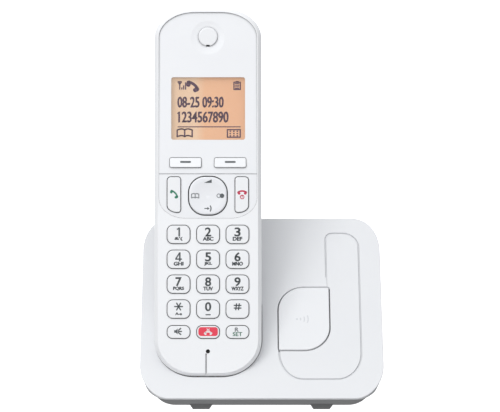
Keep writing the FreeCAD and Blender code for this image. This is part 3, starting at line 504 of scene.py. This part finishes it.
def lettering(text, centre, height, width=None, weight=0.0, bold=0.0):
    # letters of Blender's own font, fitted to a height and, where given, to a width; bold sets a
    # second print of them beside the first
    curve = bpy.data.curves.new("lettering", "FONT")
    curve.body = text
    curve.offset = weight
    curve.resolution_u = 5
    thing = bpy.data.objects.new("lettering", curve)
    mesh = bpy.data.meshes.new_from_object(thing)
    low = [min(vertex.co[i] for vertex in mesh.vertices) for i in (0, 1)]
    high = [max(vertex.co[i] for vertex in mesh.vertices) for i in (0, 1)]
    tall = height / (high[1] - low[1])
    wide = width / (high[0] - low[0]) if width else tall
    shapes = [[Vector((centre[0] + (mesh.vertices[i].co.x - (low[0] + high[0]) / 2) * wide,
                       centre[1] + (mesh.vertices[i].co.y - (low[1] + high[1]) / 2) * tall))
               for i in polygon.vertices] for polygon in mesh.polygons]
    bpy.data.objects.remove(thing)
    bpy.data.curves.remove(curve)
    bpy.data.meshes.remove(mesh)
    if bold:
        return moved(shapes, -bold / 2, -bold / 4) + moved(shapes, bold / 2, bold / 4)
    return shapes


receiverEnds = {"in": 0.35, "above": 0.1, "below": 0.6, "wide": 1.55}      # shares of its thickness


def receiver(length, thick, bend):
    # telephone receiver seen from the side, lying level, ends hanging down
    radius = length / 2 / math.sin(math.radians(bend))
    centre = (0, -radius * math.cos(math.radians(bend)))
    arch = arc(centre, radius, thick, 90 - bend, 90 + bend)
    ends = []
    for side in (-1, 1):
        angle = math.radians(90 - side * bend)
        at = Vector(centre) + ray(angle) * (radius - thick * receiverEnds["in"])
        ends += bar(at + ray(angle) * thick * receiverEnds["above"],
                    at - ray(angle) * thick * receiverEnds["below"], thick * receiverEnds["wide"], True)
    return arch + ends


inkLayer = {"raised": 0.03, "sunk": 0.01, "weld": 0.0005, "from": 60}


def printMark(name, node, sheet, at, shapes, ink, raised=inkLayer["raised"]):
    # lays shapes on a node's surface as a thin raised print that moves with it
    skin = skinOf(node)
    work = bmesh.new()
    for shape in shapes:
        corners = [work.verts.new((at[0] + point[0], at[1] + point[1], 0)) for point in shape]
        work.faces.new(corners)
    bmesh.ops.remove_doubles(work, verts=work.verts, dist=inkLayer["weld"])
    for face in work.faces:
        if face.normal.z < 0:
            face.normal_flip()
    grown = bmesh.ops.extrude_face_region(work, geom=list(work.faces))
    for item in grown["geom"]:
        if isinstance(item, bmesh.types.BMVert):
            item.co.z = 1
    for vertex in work.verts:
        u, v, top = vertex.co
        hit = skin.ray_cast(sheet.point(u, v, inkLayer["from"]), -sheet.out)[0]
        surface = sheet.flat(hit).z if hit else 0
        vertex.co = sheet.point(u, v, surface + (raised if top else -inkLayer["sunk"]))
    bmesh.ops.recalc_face_normals(work, faces=work.faces)
    mesh = bpy.data.meshes.new(name)
    work.to_mesh(mesh)
    work.free()
    mesh.materials.append(ink)
    mark = bpy.data.objects.new(name, mesh)
    bpy.context.scene.collection.objects.link(mark)
    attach(mark, bodyOf[node])
    return mark


inkStyles = {"dark": {"colour": (0.085, 0.097, 0.105), "deeper": (0.105, 0.117, 0.125)},
             "small": {"colour": (0.05, 0.06, 0.07), "deeper": (0.07, 0.08, 0.09)},
             "green": {"colour": (0.03, 0.19, 0.11), "deeper": (0.05, 0.24, 0.15)},
             "red": {"colour": (0.52, 0.04, 0.09), "deeper": (0.60, 0.06, 0.11)},
             "panelRed": {"colour": (0.74, 0.045, 0.085), "deeper": (0.80, 0.06, 0.10)},
             "pale": {"colour": (0.86, 0.84, 0.85), "deeper": (0.80, 0.78, 0.79)},
             "faint": {"colour": (0.60, 0.61, 0.64), "deeper": (0.64, 0.65, 0.68)},
             "grey": {"colour": (0.22, 0.235, 0.25), "deeper": (0.27, 0.285, 0.30)},
             "paleGreen": {"colour": (0.08, 0.21, 0.15), "deeper": (0.11, 0.25, 0.18)},
             "cell": {"colour": (0.085, 0.03, 0.075), "deeper": (0.105, 0.04, 0.09)}}
inks = {name: inked(name + "_ink", style) for name, style in inkStyles.items()}


def onKey(name, node, shapes, ink, raised=inkLayer["raised"]):
    # a mark on the handset's face, drawn round the middle of its node
    return printMark(name, node, faceSheet, faceSheet.middle(node), shapes, inks[ink], raised)


keyMarks = {"digit": {"height": 4.05, "up": 1.15, "width": 2.7, "weight": 0.016, "bold": 0.1},
            "letters": {"height": 1.7, "up": -1.95, "weight": 0.022, "bold": 0.15},
            "legends": {"1": ("&'(", 3.6), "2": ("ABC", 4.7), "3": ("DEF", 4.2), "4": ("GHI", 4.3),
                        "5": ("JKL", 3.5), "6": ("MNO", 4.7), "7": ("PQRS", 4.8), "8": ("TUV", 4.3),
                        "9": ("WXYZ", 5.4)},
            "one": {"stem": 0.3, "stem line": 0.74, "flag": (-0.75, -0.25, -0.95), "flag line": 0.6},
            "four": {"stem": 0.55, "stem line": 0.72, "slope": ((0.5, -0.15), (-1.25, 1.15)),
                     "reach": 1.5, "rise": 1.0, "line": 0.6},
            "space": {"reach": 0.95, "up": -2.5, "line": 0.5},
            "star": {"reach": 1.75, "line": 0.58, "up": 1.2, "turns": (0, 60, 120)},
            "case": {"text": "A-a", "centre": (0, -2.05), "height": 1.25, "width": 3.0, "weight": 0.022,
                     "bold": 0.12},
            "hash": {"lines": (((-1.7, 0.5), (1.75, 0.5)), ((-0.82, -0.45), (-0.42, 2.65)),
                               ((-1.7, 1.7), (1.75, 1.7)), ((0.42, -0.45), (0.82, 2.65))), "line": 0.55}}


def digitShapes(number, style):
    # one and four are drawn here with an even line; the font gives the rest
    digit, one, four = style["digit"], style["one"], style["four"]
    top, foot = digit["up"] + digit["height"] / 2, digit["up"] - digit["height"] / 2
    if number == "1":
        far, start, end = one["flag"]
        return (bar((one["stem"], foot), (one["stem"], top), one["stem line"])
                + bar((one["stem"], top + start), (far, top + end), one["flag line"]))
    if number == "4":
        (x, down), (far, rise) = four["slope"]
        return (bar((four["stem"], foot), (four["stem"], top), four["stem line"])
                + bar((x, top + down), (far, foot + rise), four["line"])
                + bar((-four["reach"], foot + four["rise"]), (four["reach"], foot + four["rise"]),
                      four["line"]))
    return lettering(number, (0, digit["up"]), digit["height"], digit["width"], digit["weight"],
                     digit["bold"])


def markNumberKeys(style):
    letters, space, star = style["letters"], style["space"], style["star"]
    for number in "1234567890":
        onKey("digit_" + number, "key_" + number, digitShapes(number, style), "dark")
        if number in style["legends"]:
            text, width = style["legends"][number]
            onKey("letters_" + number, "key_" + number,
                  lettering(text, (0, letters["up"]), letters["height"], width, letters["weight"],
                            letters["bold"]), "small")
    onKey("space_mark", "key_0", level(space["reach"], space["up"], space["line"]), "small")
    arms = []
    for turn in star["turns"]:
        arms += moved(level(star["reach"], 0, star["line"]), 0, star["up"], turn)
    onKey("star_mark", "key_star", arms, "dark")
    onKey("case_mark", "key_star", lettering(**style["case"]), "small")
    onKey("hash_mark", "key_hash", strokes(style["hash"]["lines"], style["hash"]["line"]), "dark")


markNumberKeys(keyMarks)
print("number keys marked")


functionMarks = {
    "speaker": {"horn": ((-1.7, -0.55), (-0.95, -0.55), (-0.15, -1.3), (-0.15, 1.3), (-0.95, 0.55),
                         (-1.7, 0.55)),
                "rays": (((0.3, 0), (1.6, 0)), ((0.25, -0.55), (1.25, -1.35)),
                         ((0.25, 0.55), (1.25, 1.35))),
                "line": 0.58, "place": (-0.3, 0.3)},
    "block": {"tile": {"centre": (0, 0.25), "width": 8.8, "height": 4.0, "radius": 1.25},
              "tile raised": 0.02,
              "cross": (((-0.55, 0.55), (0.55, 1.45)), ((-0.55, 1.45), (0.55, 0.55))), "line": 0.32,
              "receiver": (3.0, 0.6, 35), "place": (0, -0.35), "raised": 0.04},
    "recall": {"text": "R", "centre": (-0.35, 1.15), "height": 1.8, "width": 1.6, "weight": 0.01,
               "bold": 0.16},
    "setting": {"text": "SET", "centre": (0, -0.9), "height": 1.75, "width": 4.2, "bold": 0.16},
    "dash": {"reach": 2.05, "up": 0.3, "line": 0.85},
    "talk": {"receiver": (3.7, 0.74, 26), "place": (0.3, 0.4, -48)},
    "off": {"receiver": (3.5, 0.74, 32), "place": (0.15, 1.15)},
    "power": {"ring": ((0.15, -1.05), 0.82, 0.38, 0, 360, 28),
              "stroke": ((0.15, -0.55), (0.15, -1.15), 0.32, True)}}


def markOtherKeys(style):
    speaker, block, dash = style["speaker"], style["block"], style["dash"]
    horn = [speaker["horn"]] + strokes(speaker["rays"], speaker["line"], True)
    onKey("speaker_mark", "key_speaker", moved(horn, *speaker["place"]), "dark")
    onKey("block_tile", "key_block", tile(**block["tile"]), "panelRed", block["tile raised"])
    cross = strokes(block["cross"], block["line"], True)
    phone = moved(receiver(*block["receiver"]), *block["place"])
    onKey("block_mark", "key_block", cross + phone, "pale", block["raised"])
    onKey("recall_mark", "key_recall", lettering(**style["recall"]), "grey")
    onKey("setting_mark", "key_recall", lettering(**style["setting"]), "paleGreen")
    for side in ("left", "right"):
        onKey("dash_" + side, "soft_key_" + side, level(dash["reach"], dash["up"], dash["line"]), "dark")
    for key, ink in (("talk", "green"), ("off", "red")):
        phone = moved(receiver(*style[key]["receiver"]), *style[key]["place"])
        onKey(key + "_mark", "key_" + key, phone, ink)
    onKey("power_mark", "key_off", arc(*style["power"]["ring"]) + bar(*style["power"]["stroke"]), "red")


markOtherKeys(functionMarks)
print("function keys marked")


navMarks = {"raised": 0.04,
            "wedge": ((-1.7, 5.85), (1.7, 5.85), (1.7, 7.4)),
            "book": {"size": (3.3, 2.0, 0.4), "place": (-5.75, 0.0)},
            "ring": ((4.9, 0.0), 0.83, 0.36, 20, 340), "dot": ((6.35, 0.0), 1.02),
            "shaft": ((-1.4, -5.75), (0.2, -5.75), 0.42, True),
            "head": ((-0.2, -6.4), (0.75, -5.75), (-0.2, -5.1)),
            "stop": ((-0.8, -5.75), 2.2, 0.5, -36, 36)}


def openBook(width, height, line, arch=0.28, page=0.86):
    # open book from the front: two arched pages and a spine; arch and page are shares of the height
    w, h = width / 2, height / 2
    lines = []
    for side in (-1, 1):
        top = [(side * w * t, h * (1 - arch + arch * math.sin(math.pi * t ** 0.8)))
               for t in [i / 8 for i in range(9)]]
        foot = [(x, y - height * page) for x, y in top]
        lines += list(zip(top, top[1:])) + list(zip(foot, foot[1:])) + [(top[-1], foot[-1])]
    spine = h * (1 - arch)
    return strokes(lines + [((0, spine), (0, spine - height * page))], line, True)


def markNavigator(style):
    raised = style["raised"]
    onKey("wedge_mark", "nav_key", [style["wedge"]], "dark", raised)
    book = moved(openBook(*style["book"]["size"]), *style["book"]["place"])
    onKey("book_mark", "nav_key", book, "grey", raised)
    onKey("ring_mark", "nav_key", arc(*style["ring"]), "grey", raised)
    onKey("dot_mark", "nav_key", disc(*style["dot"]), "dark", raised)
    arrow = bar(*style["shaft"]) + [style["head"]] + arc(*style["stop"])
    onKey("arrow_mark", "nav_key", arrow, "dark", raised)


markNavigator(navMarks)
print("navigator marked")


displayMarks = {
    "left": -13.9, "right": 14.7, "raised": 0.02, "weight": 0.012, "bold": 0.27,
    "lines": (("08-25 09:30", 0, 20.8, 4.9, 3.0), ("1234567890", 0.4, 22.6, 5.0, -3.75)),
    "flag": ((0.7, -1.45), (-0.15, -2.25)), "rule": -8.2, "rule line": 0.46,
    "signal": {"up": 10.6, "mast": ((0.95, -1.9), (0.95, 1.6)), "mast line": 0.55,
               "arms": (((0, 1.7), (1.9, 1.7)), ((0.1, 1.6), (0.95, 0.3)), ((1.8, 1.6), (0.95, 0.3))),
               "arm line": 0.5, "steps": (1.0, 1.9, 3.3), "start": 1.9, "pitch": 0.85, "foot": -1.9,
               "step line": 0.58},
    "in use": {"receiver": (5.0, 1.3, 24), "right": 7.1, "up": 10.6, "turn": -38},
    "battery": {"in": 1.6, "case": (10.4, 2.9, 3.3, 0.55), "cap": (12.3, 0.7), "bars": 3, "low": 9.35,
                "reach": 1.0, "line": 0.6},
    "book": {"size": (6.8, 3.5, 0.66), "right": 3.2, "up": -10.9},
    "keypad": {"in": 3.1, "case": (-11.2, 5.8, 3.4, 0.62), "rows": 3, "columns": 3,
               "start": (-1.95, -10.25), "pitch": 1.6, "long": 0.7, "line": 0.6}}


def signalShapes(style):
    shapes = bar(*style["mast"], style["mast line"]) + strokes(style["arms"], style["arm line"])
    for step, tall in enumerate(style["steps"]):
        x = style["start"] + style["pitch"] * step
        shapes += bar((x, style["foot"]), (x, style["foot"] + tall), style["step line"])
    return shapes


def batteryShapes(style):
    up, width, height, line = style["case"]
    capUp, capReach = style["cap"]
    shapes = frameOf((0, up), width, height, line)
    shapes += bar((-capReach, capUp), (capReach, capUp), style["line"])
    for step in range(style["bars"]):
        y = style["low"] + step
        shapes += bar((-style["reach"], y), (style["reach"], y), style["line"])
    return shapes


def keypadShapes(style):
    up, width, height, line = style["case"]
    shapes = frameOf((0, up), width, height, line)
    x, y = style["start"]
    for column in range(style["columns"]):
        for row in range(style["rows"]):
            start = x + style["pitch"] * column
            shapes += bar((start, y - row), (start + style["long"], y - row), style["line"])
    return shapes


def markDisplay(style):
    left, right = style["left"], style["right"]
    marks = []
    for text, shift, width, height, up in style["lines"]:
        marks += lettering(text, (left + shift + width / 2, up), height, width, style["weight"],
                           style["bold"])
    marks += moved(bar(*style["flag"], style["rule line"]), left, 0)      # flag of the one
    marks += bar((left, style["rule"]), (right, style["rule"]), style["rule line"])
    marks += moved(signalShapes(style["signal"]), left, style["signal"]["up"])
    use, book = style["in use"], style["book"]
    marks += moved(receiver(*use["receiver"]), left + use["right"], use["up"], use["turn"])
    marks += moved(batteryShapes(style["battery"]), right - style["battery"]["in"], 0)
    marks += moved(openBook(*book["size"]), left + book["right"], book["up"])
    marks += moved(keypadShapes(style["keypad"]), right - style["keypad"]["in"], 0)
    onKey("display_marks", "lcd_glass", marks, "cell", style["raised"])


markDisplay(displayMarks)
print("display marked")


locatorMarks = {"dot": (-3.2, 0.85), "radius": 0.42, "rings": (1.7, 3.4, 5.1), "line": 0.42,
                "spread": 22}


def markLocator(style):
    at = slopeSheet.middle("locator_key")
    shapes = disc(style["dot"], style["radius"])
    for radius in style["rings"]:
        shapes += arc(style["dot"], radius, style["line"], -style["spread"], style["spread"])
    printMark("call_mark", "locator_key", slopeSheet, at, shapes, inks["faint"])


markLocator(locatorMarks)
print("locator key marked")


lampStyles = {"keyLamp": {"at": (-0.95, -0.75, 1.55), "size": 0.9, "power": 10.1},
              "leftLamp": {"at": (-1.1, 0.8, 1.3), "size": 0.9, "power": 0.7},
              "backLamp": {"at": (0.35, 1.4, 0.1), "size": 0.6, "power": 4.0},
              "fillLamp": {"at": (-0.3, -1.0, 1.2), "size": 0.9, "power": 6.6}}


def makeLamps(styles):
    for name, style in styles.items():
        data = bpy.data.lights.new(name, "AREA")
        data.shape = "DISK"
        data.size = style["size"]
        data.energy = style["power"]
        lamp = aim(bpy.data.objects.new(name, data), style["at"], (0, 0, 0.06))
        lamp.visible_glossy = name != "fillLamp"      # kept out of the display lens


makeLamps(lampStyles)
print("lamps set")


skyStyle = {"colour": (0.98, 0.99, 1.0), "low": 0.225, "high": 0.91, "band": (0.05, 0.75)}


def makeSky(style):
    # brighter overhead than at and below the horizon
    sky = Finish(bpy.data.worlds.new("sky"), "Generated")
    low, high = style["band"]
    strength = sky.add("MapRange", {}, {
        "Value": sky.along((0, 0, 1)), "From Min": low, "From Max": high, "To Min": style["low"],
        "To Max": style["high"]})
    light = sky.add("Background", {}, {"Color": style["colour"], "Strength": strength})
    bpy.context.scene.world = sky.show(light, "OutputWorld")


makeSky(skyStyle)
print("sky set")


floorStyle = {"colour": (0.93, 0.93, 0.935), "deeper": 0.985, "mottle": 0.05, "gloss": 0.85,
              "glow": 1.15, "size": 8.0, "drop": 0.0002}


def floored(name, style):
    # matt paper that glows a little, so that shadows stay soft on it
    finish = Finish(bpy.data.materials.new(name))
    mottle = finish.noise(style["mottle"], 4.0)
    deeper = tuple(value * style["deeper"] for value in style["colour"])
    colour = finish.blend(style["colour"], deeper, mottle)
    return finish.show(finish.add("BsdfPrincipled", {}, {
        "Base Color": colour, "Roughness": style["gloss"] + sway(mottle, 0.1), "Emission Color": colour,
        "Emission Strength": style["glow"], "Specular IOR Level": 0.1}))


def makeFloor(style):
    half = style["size"] / 2
    mesh = bpy.data.meshes.new("floor")
    corners = [(-half, -half, 0), (half, -half, 0), (half, half, 0), (-half, half, 0)]
    mesh.from_pydata(corners, [], [(0, 1, 2, 3)])
    mesh.materials.append(floored("floor_finish", style))
    floor = bpy.data.objects.new("floor", mesh)
    floor.location.z = -style["drop"]
    bpy.context.scene.collection.objects.link(floor)
    floor.visible_diffuse = False
    floor.visible_glossy = False


makeFloor(floorStyle)
print("floor set")


# colours come out as they are set
bpy.context.scene.view_settings.view_transform = "Standard"
bpy.context.scene.view_settings.look = "None"
